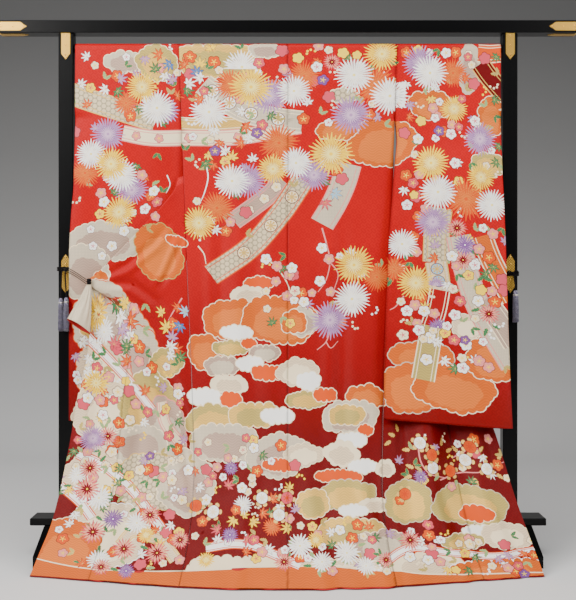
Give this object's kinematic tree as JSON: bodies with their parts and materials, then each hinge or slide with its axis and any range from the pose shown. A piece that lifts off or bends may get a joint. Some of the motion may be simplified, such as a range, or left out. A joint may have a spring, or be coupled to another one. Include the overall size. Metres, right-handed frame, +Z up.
{
  "type": "kimono on lacquered stand",
  "caption": "Long-sleeved silk kimono shown from its back, hung over the rail of a lacquered wooden stand, one front drawn out and tied to a post.",
  "frame": {"origin": "middle of the footprint, on the floor", "axes": "+Z up, -Y towards a viewer who faces the garment's back, +X to that viewer's right"},
  "size_m": [1.755, 0.6137, 1.62],
  "materials": {
    "lacquer": "polished black lacquer",
    "gilt": "gilt, lightly chased",
    "silk": "figured satin silk",
    "cord": "braided silk cord",
    "tassel": "matt silk threads"
  },
  "bodies": {
    "root": {"top_bar": "lacquer", "hanging_rail": "lacquer", "post_left": "lacquer", "post_right": "lacquer", "lower_board": "lacquer", "foot_left": "lacquer", "foot_right": "lacquer", "bar_plate_left_front": "gilt", "bar_plate_left_back": "gilt", "bar_plate_left_under": "gilt", "bar_plate_right_front": "gilt", "bar_plate_right_back": "gilt", "bar_plate_right_under": "gilt", "post_top_plate_left_front": "gilt", "post_top_plate_left_back": "gilt", "post_top_plate_right_front": "gilt", "post_top_plate_right_back": "gilt", "post_mid_plate_left_front": "gilt", "post_mid_plate_left_back": "gilt", "post_mid_plate_right_front": "gilt", "post_mid_plate_right_back": "gilt", "back_left": "silk", "back_right": "silk", "front_left": "silk", "front_right": "silk", "okumi_left": "silk", "okumi_right": "silk", "sleeve_left_near": "silk", "sleeve_left_far": "silk", "sleeve_right_near": "silk", "sleeve_right_far": "silk", "collar": "silk", "tied_fold": "silk", "post_cord_left": "cord", "post_cord_right": "cord", "tie_cord_1": "cord", "tie_cord_2": "cord", "tie_cord_3": "cord", "tie_knot": "cord", "tassel_left_outer": "tassel", "tassel_left_inner": "tassel", "tassel_right": "tassel"}
  },
  "joints": []
}
